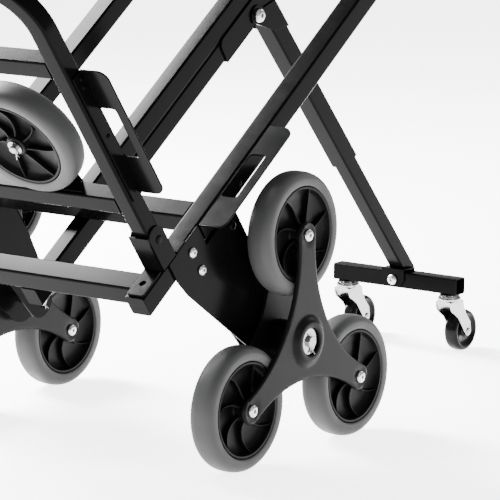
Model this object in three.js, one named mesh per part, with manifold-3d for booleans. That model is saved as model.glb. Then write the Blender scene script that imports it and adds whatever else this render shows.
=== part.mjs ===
// A folding stair-climbing hand trolley, standing tilted back on its own legs.
// Millimetres, +Z up, +X to the trolley's right, the load platform towards -Y.
// The origin is on the ground, under the middle of the whole trolley.
import * as THREE from 'three';
import { mergeVertices } from 'three/addons/utils/BufferGeometryUtils.js';
import Module from 'manifold-3d';

const wasm = await Module();
wasm.setup();

// ---------- Driving dimensions ----------

const gap = 0.3; // air left between pieces that touch
const sheet = 2.5; // thickness of the folded sheet-metal pieces

// Ladder frame. Its own axes are x (sideways), y (up along the uprights) and
// z (out of the front face, where the load stands). y is 0 at the lower end.
const frameTilt = THREE.MathUtils.degToRad(35.4); // uprights above the horizontal
const tube = 30; // square tube of the uprights and crossbars
const tubeWall = 1.5;
const tubeBore = tube - 2 * tubeWall;
const uprightX = 199; // centre of an upright
const uprightLength = 800;
const uprightFloor = 3; // closed lower end; the handle's legs run inside the upper part
const bottomBarY = 29;
const lowerBarY = 162;
const topBarY = 780;
const railWidth = 25; // the two centre tubes, one behind the other
const braceTop = 700;

// Axle brackets, measured on the ladder frame
const bracketBottom = 62;
const bracketFrontTop = 134; // the outer plate covers the upright's side up to here
const bracketTop = 205;
const innerPlateFoot = 112;
const webFront = -33;
const webBack = -125;
const outerHubRadius = 36;
const innerHubRadius = 26;
const tabStart = 84;
const tabEnd = 104;

// Hinge brackets, measured along and out from the upright
const hingeBaseStart = 3;
const cheekStart = 48;
const cheekEnd = 80;
const cheekCentreZ = 46;
const hingeWebTop = 58;

// Bracket behind the centre tubes that holds the leg's pivot
const legBracketStart = 500;
const legBracketEnd = 665;
const legBracketFront = -28;
const legBracketCorner = 12;
const boltBore = 4.4; // radius of the holes for the 8 mm bolts
const headRadius = 15; // end of the leg's head plates, about the pivot
const armRivetHole = 4.5;

// Platform, which folds up about pins in the hinge brackets
const armTube = 25;
const armX = 202;
const pinY = 65.5;
const pinZ = 42;
const pinRadius = 4.5;
const platformReach = 470; // front edge of the platform
const platformBend = 72.5; // centre-line radius of its front corners
const rearBarZ = 106;
const frontBarZ = 329.5;

// Strap wings: slotted plates beside the uprights and the platform's arms
const wingWidth = 40;
const slotWidth = 24;
const slotLength = 80;
const uprightWingLength = 189;
const platformWingLength = 201;

// Wheels, six in the clusters and two under the platform
const wheelRadius = 82.5;
const wheelHalfWidth = 18.5;
const rimRadius = 64;
const boltRadius = 5.5;
const runningClearance = 0.4; // between a shaft and its bore
const spareX = 85;
const spareY = 58;
const spareZ = 208;

// Tri-star clusters
const starRadius = 141; // centre of the cluster to a wheel's axle
const starPlate = 5.5;
const starTip = 18; // radius of an arm's end
const starWaist = 51; // from the centre to the outline between two arms
const starBore = 18.5;
const bossHeight = 6; // raised ring round the outer plate's bore
const bossRadius = 34;
const clusterX = 252; // middle of a cluster's wheels
const spindleRadius = 8;
const washerRadius = 17;
const spindleOnFrame = new THREE.Vector2(165, -230); // y and z on the ladder frame
const clusterHeight = wheelRadius + starRadius / 2; // two wheels of three are down
const clusterY = -97.6;

// Rear support leg with its two casters
const legPivot = new THREE.Vector2(588.7, -53); // y and z on the ladder frame
const legDrop = THREE.MathUtils.degToRad(49.5); // leg below the horizontal
const legOffset = 27.9; // leg's axis beside its pivot
const sleeveStart = 19;
const sleeveEnd = 336;
const legTube = 25;
const legTubeStart = 262;
const legTubeEnd = 601;
const casterBarAlong = 583;
const casterBarOffset = 9.3;
const casterBar = 25;
const casterBarLength = 224;
const casterX = 93;
const casterRadius = 31.5;
const casterHalfWidth = 11;
const casterTrail = 32;
const casterAxleRadius = 3.5;
const crownHeight = 13;
const crownRadius = 18;
const forkSheet = 2;

// Telescoping handle
const handleTube = 25;
const handleBottom = 640;
const handleTop = 1150;
const handleBend = 60; // centre-line radius
const gripLength = 220;
const gripSize = 33;

// ---------- Materials ----------

const paint = new THREE.MeshStandardMaterial({ color: 0x222221, roughness: 0.42, metalness: 0.3 });
const plastic = new THREE.MeshStandardMaterial({ color: 0x151515, roughness: 0.5, metalness: 0 });
const tyreRubber = new THREE.MeshStandardMaterial({ color: 0x6d6d6c, roughness: 0.75, metalness: 0 });
const zinc = new THREE.MeshStandardMaterial({ color: 0xc6c6c2, roughness: 0.3, metalness: 1 });
const chrome = new THREE.MeshStandardMaterial({ color: 0xd6d6d6, roughness: 0.15, metalness: 1 });
const foam = new THREE.MeshStandardMaterial({ color: 0x1b1b1b, roughness: 0.95, metalness: 0 });

// ---------- Shape helpers ----------

function box(x0, x1, y0, y1, z0, z1) {
  const geometry = new THREE.BoxGeometry(x1 - x0, y1 - y0, z1 - z0);
  return geometry.translate((x0 + x1) / 2, (y0 + y1) / 2, (z0 + z1) / 2);
}

// A straight tube with open ends, running along the axis that is named.
function openTube(x0, x1, y0, y1, z0, z1, axis) {
  const wall = (along) => (axis === along ? -1 : tubeWall);
  const [wx, wy, wz] = [wall('x'), wall('y'), wall('z')];
  return cut(
    box(x0, x1, y0, y1, z0, z1),
    box(x0 + wx, x1 - wx, y0 + wy, y1 - wy, z0 + wz, z1 - wz),
  );
}

function extrude(shape, depth, curveSegments = 6) {
  return new THREE.ExtrudeGeometry(shape, { depth, bevelEnabled: false, curveSegments });
}

// A plate drawn in y and z, from x0 to x1.
function plateAcross(shape, x0, x1, curveSegments) {
  const turn = new THREE.Matrix4().makeBasis(
    new THREE.Vector3(0, 1, 0),
    new THREE.Vector3(0, 0, 1),
    new THREE.Vector3(1, 0, 0),
  );
  return extrude(shape, x1 - x0, curveSegments).applyMatrix4(turn).translate(x0, 0, 0);
}

// A plate drawn in x and z, from y0 to y1.
function plateAlong(shape, y0, y1, curveSegments) {
  return extrude(shape, y1 - y0, curveSegments).rotateX(Math.PI / 2).translate(0, y1, 0);
}

function cylinderAlongX(radius, x0, x1, y, z, sides = 16) {
  const geometry = new THREE.CylinderGeometry(radius, radius, x1 - x0, sides);
  return geometry.rotateZ(-Math.PI / 2).translate((x0 + x1) / 2, y, z);
}

function cylinderAlongY(radius, y0, y1, x, z, sides = 16) {
  return new THREE.CylinderGeometry(radius, radius, y1 - y0, sides).translate(x, (y0 + y1) / 2, z);
}

// A turned piece about the x axis, from closed points of [radius, x].
function turned(profile, segments = 20) {
  const points = profile.map(([radius, x]) => new THREE.Vector2(radius, x));
  return new THREE.LatheGeometry(points, segments).rotateZ(-Math.PI / 2);
}

function toSolid(geometry) {
  const bare = geometry.clone();
  bare.deleteAttribute('normal');
  bare.deleteAttribute('uv');
  const merged = mergeVertices(bare, 1e-4);
  return new wasm.Manifold(new wasm.Mesh({
    numProp: 3,
    vertProperties: new Float32Array(merged.attributes.position.array),
    triVerts: new Uint32Array(merged.index.array),
  }));
}

function toGeometry(solid) {
  const mesh = solid.getMesh();
  const geometry = new THREE.BufferGeometry();
  geometry.setAttribute('position', new THREE.BufferAttribute(mesh.vertProperties, 3));
  geometry.setIndex(new THREE.BufferAttribute(mesh.triVerts, 1));
  geometry.computeVertexNormals();
  return geometry;
}

function join(...geometries) {
  return toGeometry(geometries.map(toSolid).reduce((whole, piece) => whole.add(piece)));
}

function cut(geometry, ...tools) {
  return toGeometry(tools.map(toSolid).reduce((whole, tool) => whole.subtract(tool), toSolid(geometry)));
}

function addMesh(group, name, geometry, material) {
  const mesh = new THREE.Mesh(geometry, material);
  mesh.name = name;
  group.add(mesh);
  return mesh;
}

// Mirrored copy for the other side, with its faces turned back outwards.
function mirrored(geometry) {
  const solid = toSolid(geometry).mirror([1, 0, 0]);
  return toGeometry(solid);
}

function addPair(group, name, geometry, material) {
  addMesh(group, `${name}_right`, geometry, material);
  addMesh(group, `${name}_left`, mirrored(geometry), material);
}

// A rectangle with one rounding radius, as a path or a shape.
function roundedRectangle(target, x0, x1, y0, y1, radius) {
  target.moveTo(x0 + radius, y0);
  target.lineTo(x1 - radius, y0);
  target.absarc(x1 - radius, y0 + radius, radius, -Math.PI / 2, 0);
  target.lineTo(x1, y1 - radius);
  target.absarc(x1 - radius, y1 - radius, radius, 0, Math.PI / 2);
  target.lineTo(x0 + radius, y1);
  target.absarc(x0 + radius, y1 - radius, radius, Math.PI / 2, Math.PI);
  target.lineTo(x0, y0 + radius);
  target.absarc(x0 + radius, y0 + radius, radius, Math.PI, 1.5 * Math.PI);
  return target;
}

function circlePath(x, y, radius) {
  return new THREE.Path().absarc(x, y, radius, 0, 2 * Math.PI, true);
}

// ---------- Ladder frame ----------

const trolley = new THREE.Group();
const frame = new THREE.Group();
frame.rotation.x = frameTilt;
const spindleInWorld = new THREE.Vector3(0, spindleOnFrame.x, spindleOnFrame.y).applyEuler(frame.rotation);
frame.position.set(0, clusterY - spindleInWorld.y, clusterHeight - spindleInWorld.z);
trolley.add(frame);

function upright() {
  const half = tube / 2;
  const bore = tubeBore / 2;
  const outside = box(uprightX - half, uprightX + half, 0, uprightLength, -tube, 0);
  const top = uprightLength + 1;
  const inside = box(uprightX - bore, uprightX + bore, uprightFloor, top, -half - bore, -half + bore);
  return cut(outside, inside);
}

function crossbar(y) {
  const reach = uprightX - tube / 2 - gap;
  return openTube(-reach, reach, y - tube / 2, y + tube / 2, -tube, 0, 'x');
}

function centreRail() {
  const start = lowerBarY + tube / 2 + gap;
  const end = topBarY - tube / 2 - gap;
  return openTube(-railWidth / 2, railWidth / 2, start, end, -tube, 0, 'y');
}

function centreBrace() {
  const start = bottomBarY - tube / 2;
  const body = openTube(-railWidth / 2, railWidth / 2, start, braceTop, -2 * tube, -tube - gap, 'y');
  return cut(body, cylinderAlongX(boltBore, -20, 20, legPivot.x, legPivot.y, 12));
}

// Two side plates reach back from the upright to the cluster's spindle, joined by
// a web along their upper edges. A tab wraps round the upright's front.
function axleBracket() {
  const outerFace = uprightX + tube / 2 + runningClearance;
  const innerFace = uprightX - tube / 2 - runningClearance;
  const hubArcEnd = 1.95 * Math.PI;
  const [hubY, hubZ] = [spindleOnFrame.x, spindleOnFrame.y];
  const outer = new THREE.Shape();
  outer.moveTo(bracketFrontTop, 0);
  outer.lineTo(bracketBottom, 0);
  outer.lineTo(bracketBottom, -tube);
  outer.lineTo(bracketBottom + 6, -2 * tube);
  outer.absarc(hubY, hubZ, outerHubRadius, Math.PI, hubArcEnd);
  outer.lineTo(bracketTop, webBack);
  outer.lineTo(bracketTop, webFront);
  outer.lineTo(bracketFrontTop, webFront);
  const inner = new THREE.Shape();
  inner.moveTo(bracketTop, webFront);
  inner.lineTo(innerPlateFoot, webFront);
  inner.absarc(hubY, hubZ, innerHubRadius, Math.PI, hubArcEnd);
  inner.lineTo(bracketTop, webBack);
  return cut(
    join(
      plateAcross(outer, outerFace, outerFace + sheet),
      plateAcross(inner, innerFace - sheet, innerFace),
      box(innerFace - sheet, outerFace + sheet, bracketTop - sheet, bracketTop, webBack, webFront),
      box(uprightX, outerFace + sheet, tabStart, tabEnd, gap, gap + sheet),
      box(outerFace, outerFace + sheet, tabStart, tabEnd, -1, gap + sheet),
    ),
    cylinderAlongX(spindleRadius + runningClearance, innerFace - 10, outerFace + 10, hubY, hubZ),
  );
}

// Base plate on the upright's front, a round-topped cheek on each side of the
// platform's arm, a web below the arm, and the pin that the arm turns on.
function hingeBracket() {
  const inside = armTube / 2 + runningClearance;
  const outside = inside + sheet;
  const middle = (cheekStart + cheekEnd) / 2;
  const cheek = new THREE.Shape();
  cheek.moveTo(cheekEnd, gap);
  cheek.absarc(middle, cheekCentreZ, cheekEnd - middle, 0, Math.PI);
  cheek.lineTo(cheekStart, gap);
  const edge = uprightX + tube / 2 - 1;
  const tab = roundedRectangle(new THREE.Shape(), armX - outside, edge, hingeBaseStart, 60, 4);
  tab.holes.push(circlePath(armX - 2, 24, armRivetHole));
  return join(
    extrude(tab, sheet, 4).translate(0, 0, gap),
    box(armX - outside, armX + outside, cheekStart, cheekEnd, gap, gap + sheet),
    plateAcross(cheek, armX - outside, armX - inside, 5),
    plateAcross(cheek, armX + inside, armX + outside, 5),
    box(armX - outside, armX + outside, cheekStart, cheekStart + sheet, gap, hingeWebTop),
    cylinderAlongX(pinRadius, armX - outside - 1.5, armX + outside + 3, pinY, pinZ, 12),
  );
}

// Flat wing with a long slot, on a flange that is riveted to the tube. It is drawn
// along y, with the flange against the plane x = 0 and the wing's face at z = 0.
function strapWing(length, flangeDepth) {
  const outline = new THREE.Shape();
  outline.moveTo(0, 0);
  outline.lineTo(wingWidth - 16, 0);
  outline.absarc(wingWidth - 14, 14, 14, -Math.PI / 2, 0);
  outline.lineTo(wingWidth, length - 16);
  outline.absarc(wingWidth - 16, length - 16, 16, 0, Math.PI / 2);
  outline.lineTo(0, length);
  const slotStart = (length - slotLength) / 2;
  const slotEnd = slotStart + slotLength;
  outline.holes.push(roundedRectangle(new THREE.Path(), sheet, sheet + slotWidth, slotStart, slotEnd, 4));
  return join(
    extrude(outline, sheet, 3).translate(0, 0, -sheet),
    box(0, sheet, 0, length, -flangeDepth, -sheet / 2),
  );
}

function legBracket() {
  const inside = railWidth / 2 + gap;
  const outside = inside + sheet;
  const back = -2 * tube - gap;
  const cheek = new THREE.Shape();
  const corner = legBracketCorner;
  cheek.moveTo(legBracketEnd, legBracketFront);
  cheek.absarc(legBracketStart + corner, legBracketFront - corner, corner, Math.PI / 2, Math.PI);
  cheek.lineTo(legBracketStart, back - sheet);
  cheek.lineTo(legBracketEnd, back - sheet);
  return cut(
    join(
      plateAcross(cheek, inside, outside),
      plateAcross(cheek, -outside, -inside),
      box(-outside, outside, legBracketStart, legBracketEnd, back - sheet, back),
    ),
    cylinderAlongX(boltBore, -20, 20, legPivot.x, legPivot.y),
  );
}

addPair(frame, 'upright', upright(), paint);
addMesh(frame, 'bottom_bar', crossbar(bottomBarY), paint);
addMesh(frame, 'lower_bar', crossbar(lowerBarY), paint);
addMesh(frame, 'top_bar', crossbar(topBarY), paint);
addMesh(frame, 'centre_rail', centreRail(), paint);
addMesh(frame, 'centre_brace', centreBrace(), paint);
addPair(frame, 'axle_bracket', axleBracket(), paint);
addPair(frame, 'hinge_bracket', hingeBracket(), paint);
const uprightWing = strapWing(uprightWingLength, 24).translate(uprightX + tube / 2 + gap, 138, -2);
addPair(frame, 'side_wing', uprightWing, paint);
addMesh(frame, 'leg_bracket', legBracket(), paint);

// ---------- Platform ----------

// One bent tube: two arms that turn on the hinge pins, and a round-cornered front.
function platformOutline(half, startZ) {
  const outer = armX + half;
  const inner = armX - half;
  const outerBend = platformBend + half;
  const innerBend = platformBend - half;
  const cornerZ = platformReach - armTube / 2 - platformBend;
  const shape = new THREE.Shape();
  shape.moveTo(outer, startZ);
  shape.absarc(outer - outerBend, cornerZ, outerBend, 0, Math.PI / 2);
  shape.absarc(-outer + outerBend, cornerZ, outerBend, Math.PI / 2, Math.PI);
  shape.lineTo(-outer, startZ);
  shape.lineTo(-inner, startZ);
  shape.absarc(-inner + innerBend, cornerZ, innerBend, Math.PI, Math.PI / 2, true);
  shape.absarc(inner - innerBend, cornerZ, innerBend, Math.PI / 2, 0, true);
  shape.lineTo(inner, startZ);
  return shape;
}

// Seen from the side, the arms' lower ends are round about the pins.
function platformLoop() {
  const half = armTube / 2;
  const reach = armX + half + 5;
  const side = new THREE.Shape();
  side.absarc(pinY, pinZ, half, Math.PI, 2 * Math.PI);
  side.lineTo(pinY + half, platformReach + 1);
  side.lineTo(pinY - half, platformReach + 1);
  const bore = half - tubeWall;
  const bent = toSolid(plateAlong(platformOutline(half, pinZ - half), pinY - half, pinY + half));
  const rounded = bent.intersect(toSolid(plateAcross(side, -reach, reach)));
  return cut(
    toGeometry(rounded),
    plateAlong(platformOutline(bore, pinZ - half - 1), pinY - bore, pinY + bore),
    cylinderAlongX(pinRadius + runningClearance, -reach, reach, pinY, pinZ, 12),
  );
}

function platformBar(z) {
  const reach = armX - armTube / 2 - gap;
  const half = armTube / 2;
  return openTube(-reach, reach, pinY - half, pinY + half, z - half, z + half, 'x');
}

// Angle bracket on the rear bar, with a plate over the wheel and the wheel's axle.
function wheelBracket() {
  const barTop = rearBarZ + armTube / 2 + gap;
  const faceY = pinY + armTube / 2 + gap;
  const plate = new THREE.Shape();
  const [nearEdge, farEdge] = [spareX - 30, spareX + 36];
  const lipEdge = pinY - 8;
  const eyeRadius = 14;
  plate.moveTo(nearEdge, rearBarZ - armTube / 2);
  plate.lineTo(farEdge, rearBarZ - armTube / 2);
  plate.lineTo(farEdge, barTop);
  plate.absarc(spareX, spareZ, eyeRadius, 0, Math.PI);
  plate.lineTo(nearEdge, barTop);
  const lip = new THREE.Shape();
  lip.moveTo(nearEdge, faceY);
  lip.lineTo(farEdge, faceY);
  lip.lineTo(farEdge + 16, lipEdge);
  lip.lineTo(nearEdge, lipEdge);
  return join(
    plateAlong(plate, faceY, faceY + sheet),
    extrude(lip, sheet).translate(0, 0, barTop),
    box(nearEdge, farEdge, faceY - 1, faceY + sheet, barTop, barTop + sheet),
    cylinderAlongY(boltRadius, spareY - wheelHalfWidth - 8, faceY + 1, spareX, spareZ, 12),
  );
}

// ---------- Wheels ----------

// A wheel's plastic rim about the x axis: a wide hub, a thinner web and a band.
function rim() {
  const bore = boltRadius + runningClearance;
  const hub = wheelHalfWidth + 1;
  const band = wheelHalfWidth - 2;
  return turned([
    [bore, -hub], [15, -hub], [48, -6], [rimRadius, -band],
    [rimRadius, band], [48, 6], [15, hub], [bore, hub], [bore, -hub],
  ]);
}

function tyre() {
  const inner = rimRadius + gap;
  const bead = wheelHalfWidth - 2;
  const tread = wheelHalfWidth - 9;
  return turned([
    [inner, -bead], [inner + 6, -wheelHalfWidth], [wheelRadius, -tread],
    [wheelRadius, tread], [inner + 6, wheelHalfWidth], [inner, bead], [inner, -bead],
  ]);
}

const platform = new THREE.Group();
frame.add(platform);
addMesh(platform, 'platform_loop', platformLoop(), paint);
addMesh(platform, 'front_bar', platformBar(frontBarZ), paint);
addMesh(platform, 'rear_bar', platformBar(rearBarZ), paint);
const platformWing = strapWing(platformWingLength, 20).rotateX(-Math.PI / 2);
platformWing.translate(armX + armTube / 2 + gap, pinY + armTube / 2, 315);
addPair(platform, 'platform_wing', platformWing, paint);
addPair(platform, 'wheel_bracket', wheelBracket(), paint);
for (const [side, sign] of [['right', 1], ['left', -1]]) {
  const spare = new THREE.Group();
  spare.position.set(sign * spareX, spareY, spareZ);
  spare.rotation.z = Math.PI / 2;
  platform.add(spare);
  addMesh(spare, `spare_rim_${side}`, rim(), plastic);
  addMesh(spare, `spare_tyre_${side}`, tyre(), tyreRubber);
}

// ---------- Tri-star clusters ----------

function armAngle(arm) {
  return Math.PI / 2 + (arm * 2 * Math.PI) / 3;
}

// Three tapering arms drawn in y and z about the cluster's centre. Each concave
// flank is an arc that touches the ends of two arms and passes the waist.
function starOutline() {
  const along = starRadius / 2;
  const across = (starRadius * Math.sqrt(3)) / 2;
  const inward = starWaist - along;
  const flank = (inward ** 2 + across ** 2 - starTip ** 2) / (2 * (starTip - inward));
  const flankCentre = flank + starWaist;
  const reach = Math.atan2(across, flankCentre - along);
  const shape = new THREE.Shape();
  for (let arm = 0; arm < 3; arm += 1) {
    const angle = armAngle(arm);
    const [tipY, tipZ] = [starRadius * Math.cos(angle), starRadius * Math.sin(angle)];
    const between = angle + Math.PI / 3;
    const halfTurn = Math.PI / 3 + reach;
    shape.absarc(tipY, tipZ, starTip, angle - halfTurn, angle + halfTurn);
    const [centreY, centreZ] = [flankCentre * Math.cos(between), flankCentre * Math.sin(between)];
    shape.absarc(centreY, centreZ, flank, between + Math.PI + reach, between + Math.PI - reach, true);
    shape.holes.push(circlePath(tipY, tipZ, boltRadius + runningClearance));
  }
  return shape;
}

// The outer plate has a raised boss round its bore.
function starOuter() {
  const shape = starOutline();
  shape.holes.push(circlePath(0, 0, starBore));
  const inside = wheelHalfWidth + 1 + gap;
  const outside = inside + starPlate;
  const top = outside + bossHeight;
  const boss = turned([
    [starBore, inside], [bossRadius - 4, inside], [bossRadius, outside], [bossRadius - 10, top],
    [starBore, top], [starBore, inside],
  ]);
  return join(plateAcross(shape, inside, outside, 5), boss);
}

// The inner plate carries the hub tube that turns on the spindle.
function starInner() {
  const outside = wheelHalfWidth + 1 + gap;
  const hubRadius = 24;
  const plate = plateAcross(starOutline(), -outside - starPlate, -outside, 5);
  const hub = cylinderAlongX(hubRadius, -outside - 1, outside - gap, 0, 0);
  return cut(join(plate, hub), cylinderAlongX(spindleRadius + runningClearance, -60, 60, 0, 0));
}

// A bolt with a round head outside and a nut inside, through a wheel's hub.
function wheelBolt() {
  const face = wheelHalfWidth + 1 + gap + starPlate + gap;
  return turned([
    [0, -face - 6], [8, -face - 6], [8, -face], [boltRadius, -face], [boltRadius, face],
    [8.5, face], [7.5, face + 3], [0, face + 3],
  ], 10);
}

function spindle() {
  const inner = uprightX - tube / 2 - runningClearance - sheet;
  const collar = uprightX + tube / 2 + runningClearance + sheet + gap;
  const collarEnd = clusterX - wheelHalfWidth - 1 - gap - starPlate - gap;
  const spacer = clusterX + wheelHalfWidth + 1 + gap;
  const washer = spacer + 6;
  const washerEnd = washer + 2.2;
  const shaftEnd = washerEnd + 5;
  const spacerRadius = 14;
  return turned([
    [0, inner - 6], [spindleRadius, inner - 6], [spindleRadius, collar], [13, collar], [13, collarEnd],
    [spindleRadius, collarEnd], [spindleRadius, spacer], [spacerRadius, spacer], [spacerRadius, washer],
    [washerRadius, washer], [washerRadius, washerEnd], [spindleRadius, washerEnd],
    [spindleRadius, shaftEnd], [0, shaftEnd],
  ], 16);
}

for (const [side, sign] of [['right', 1], ['left', -1]]) {
  const cluster = new THREE.Group();
  cluster.position.set(sign * clusterX, clusterY, clusterHeight);
  trolley.add(cluster);
  const handed = (geometry) => (sign > 0 ? geometry : mirrored(geometry));
  addMesh(cluster, `star_outer_${side}`, handed(starOuter()), plastic);
  addMesh(cluster, `star_inner_${side}`, handed(starInner()), plastic);
  for (let arm = 0; arm < 3; arm += 1) {
    const place = ['top', 'front', 'rear'][arm];
    const wheel = new THREE.Group();
    wheel.position.set(0, starRadius * Math.cos(armAngle(arm)), starRadius * Math.sin(armAngle(arm)));
    cluster.add(wheel);
    addMesh(wheel, `rim_${side}_${place}`, rim(), plastic);
    addMesh(wheel, `tyre_${side}_${place}`, tyre(), tyreRubber);
    addMesh(wheel, `wheel_bolt_${side}_${place}`, handed(wheelBolt()), zinc);
  }
}
addPair(frame, 'spindle', spindle().translate(0, spindleOnFrame.x, spindleOnFrame.y), zinc);

// ---------- Rear support leg ----------

// The leg's own axes are y along the leg, away from its pivot, and z above it.
const leg = new THREE.Group();
leg.position.set(0, legPivot.x, legPivot.y);
leg.rotation.x = -legDrop - frameTilt;
frame.add(leg);

// Square sleeve with two head plates that reach round the bracket to the pivot.
function legSleeve() {
  const half = tube / 2;
  const bore = tubeBore / 2;
  const head = new THREE.Shape();
  head.absarc(0, 0, headRadius, Math.PI / 2, 1.5 * Math.PI);
  head.lineTo(46, legOffset - half + 2);
  head.lineTo(64, legOffset + half);
  head.lineTo(12, legOffset + half);
  const sleeve = box(-half, half, sleeveStart, sleeveEnd, legOffset - half, legOffset + half);
  const inside = half + 0.6;
  const plates = join(
    plateAcross(head, inside, inside + sheet),
    plateAcross(head, -inside - sheet, -inside),
    box(half - 0.5, inside + 0.5, 24, 54, legOffset - 10, legOffset + 10),
    box(-inside - 0.5, -half + 0.5, 24, 54, legOffset - 10, legOffset + 10),
    sleeve,
  );
  return cut(
    plates,
    box(-bore, bore, sleeveStart - 1, sleeveEnd + 1, legOffset - bore, legOffset + bore),
    cylinderAlongX(boltBore, -20, 20, 0, 0),
  );
}

// Bolt with a round head and a nut, through the leg, its bracket and the brace.
function pivotBolt() {
  const face = tube / 2 + 0.6 + sheet + gap;
  return turned([
    [0, -face - 7], [9, -face - 7], [9, -face], [4, -face],
    [4, face], [10, face], [9, face + 6], [0, face + 6],
  ], 12);
}

const legPose = new THREE.Matrix4().makeRotationX(-legDrop);
const barCentre = new THREE.Vector3(0, casterBarAlong, casterBarOffset).applyMatrix4(legPose);

// A piece drawn upright, about the middle of the caster bar, in the leg's axes.
function levelPiece(geometry) {
  return geometry.translate(...barCentre.toArray()).applyMatrix4(legPose.clone().invert());
}

// Inner square tube with the saddle that holds the caster bar level.
function legInner() {
  const half = legTube / 2;
  const bar = casterBar / 2;
  const tubePiece = openTube(-half, half, legTubeStart, legTubeEnd, legOffset - half, legOffset + half, 'y');
  const saddle = join(
    box(-20, 20, -bar - gap - sheet, bar + gap + sheet, bar + 2, bar + 2 + sheet),
    box(-20, 20, -bar - gap - sheet, -bar - gap, -bar + 2, bar + 3),
    box(-20, 20, bar + gap, bar + gap + sheet, -bar + 2, bar + 3),
  );
  const below = levelPiece(box(-30, 30, -40, 40, -60, bar + 2.5));
  const trimmed = toSolid(tubePiece).subtract(toSolid(below));
  const joined = trimmed.add(toSolid(levelPiece(saddle)));
  return cut(toGeometry(joined), levelPiece(cylinderAlongY(boltBore, -30, 30, 0, 0)));
}

function casterBarPiece() {
  const half = casterBar / 2;
  const body = openTube(-casterBarLength / 2, casterBarLength / 2, -half, half, -half, half, 'x');
  return cut(body, cylinderAlongY(boltBore, -20, 20, 0, 0));
}

function barBolt() {
  const face = casterBar / 2 + 2 * gap + sheet;
  return turned([
    [0, -face - 5], [7, -face - 5], [7, -face], [4, -face],
    [4, face], [7, face], [7, face + 5], [0, face + 5],
  ], 12).rotateZ(Math.PI / 2);
}

const pivotInWorld = new THREE.Vector3(0, legPivot.x, legPivot.y);
pivotInWorld.applyEuler(frame.rotation).add(frame.position);
const barInWorld = barCentre.clone().add(pivotInWorld);
const axleDrop = casterRadius - (barInWorld.z - casterBar / 2);

// Swivel fork about z, its axle trailing towards +y. z = 0 is the bar's underside.
function casterFork() {
  const inside = casterHalfWidth + 1;
  const outside = inside + forkSheet;
  const bridge = forkSheet + 1 - crownHeight;
  const cheek = new THREE.Shape();
  cheek.moveTo(-14, -crownHeight - 5);
  cheek.absarc(casterTrail, axleDrop, 8, Math.PI, 2 * Math.PI);
  cheek.lineTo(16, bridge);
  cheek.lineTo(-14, bridge);
  const crown = new THREE.LatheGeometry([
    new THREE.Vector2(0, -crownHeight), new THREE.Vector2(crownRadius, -crownHeight),
    new THREE.Vector2(crownRadius - 4, -gap), new THREE.Vector2(0, -gap),
  ], 12).rotateX(Math.PI / 2);
  return join(
    crown,
    box(-outside, outside, -14, 16, -crownHeight, bridge),
    plateAcross(cheek, inside, outside, 3),
    plateAcross(cheek, -outside, -inside, 3),
    cylinderAlongX(casterAxleRadius, -outside - 2, outside + 2, casterTrail, axleDrop, 10),
  );
}

function casterWheel() {
  const half = casterHalfWidth;
  const bore = casterAxleRadius + runningClearance;
  return turned([
    [bore, -half], [9, -half], [22, -half + 3], [26, -half], [casterRadius, -half + 5],
    [casterRadius, half - 5], [26, half], [22, half - 3], [9, half], [bore, half], [bore, -half],
  ], 16);
}

addMesh(leg, 'leg_sleeve', legSleeve(), paint);
addMesh(leg, 'leg_tube', legInner(), paint);
addMesh(leg, 'leg_pivot_bolt', pivotBolt(), zinc);

const bar = new THREE.Group();
bar.position.copy(barInWorld);
trolley.add(bar);
addMesh(bar, 'caster_bar', casterBarPiece(), paint);
addMesh(bar, 'caster_bar_bolt', barBolt(), zinc);
for (const [side, sign] of [['right', 1], ['left', -1]]) {
  const caster = new THREE.Group();
  caster.position.set(sign * casterX, 0, -casterBar / 2);
  bar.add(caster);
  addMesh(caster, `caster_fork_${side}`, casterFork(), chrome);
  addMesh(caster, `caster_wheel_${side}`, casterWheel().translate(0, casterTrail, axleDrop), plastic);
}

// ---------- Telescoping handle ----------

function handleOutline(half, startY) {
  const outer = uprightX + half;
  const inner = uprightX - half;
  const outerBend = handleBend + half;
  const innerBend = handleBend - half;
  const cornerY = handleTop - handleTube / 2 - handleBend;
  const shape = new THREE.Shape();
  shape.moveTo(outer, startY);
  shape.absarc(outer - outerBend, cornerY, outerBend, 0, Math.PI / 2);
  shape.absarc(-outer + outerBend, cornerY, outerBend, Math.PI / 2, Math.PI);
  shape.lineTo(-outer, startY);
  shape.lineTo(-inner, startY);
  shape.absarc(-inner + innerBend, cornerY, innerBend, Math.PI, Math.PI / 2, true);
  shape.absarc(inner - innerBend, cornerY, innerBend, Math.PI / 2, 0, true);
  shape.lineTo(inner, startY);
  return shape;
}

function grip() {
  const half = gripSize / 2;
  const bore = handleTube / 2 + gap;
  const shape = roundedRectangle(new THREE.Shape(), -half, half, -half, half, 10);
  const hole = new THREE.Path();
  hole.moveTo(-bore, -bore);
  hole.lineTo(-bore, bore);
  hole.lineTo(bore, bore);
  hole.lineTo(bore, -bore);
  shape.holes.push(hole);
  return plateAcross(shape, -gripLength / 2, gripLength / 2, 4);
}

const handle = new THREE.Group();
handle.position.z = -tube / 2;
frame.add(handle);
const handleBore = handleTube - 2 * tubeWall;
const handleLoop = cut(
  extrude(handleOutline(handleTube / 2, handleBottom), handleTube).translate(0, 0, -handleTube / 2),
  extrude(handleOutline(handleBore / 2, handleBottom - 1), handleBore).translate(0, 0, -handleBore / 2),
);
addMesh(handle, 'handle_loop', handleLoop, paint);
addMesh(handle, 'handle_grip', grip().translate(0, handleTop - handleTube / 2, 0), foam);

export default trolley;
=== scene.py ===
"""Looks of a folding stair-climbing hand trolley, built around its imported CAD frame.

Lengths are in millimetres until mesh_piece() scales them to metres.
"""

import math

import bmesh
import bpy
from mathutils import Matrix, Vector


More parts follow.
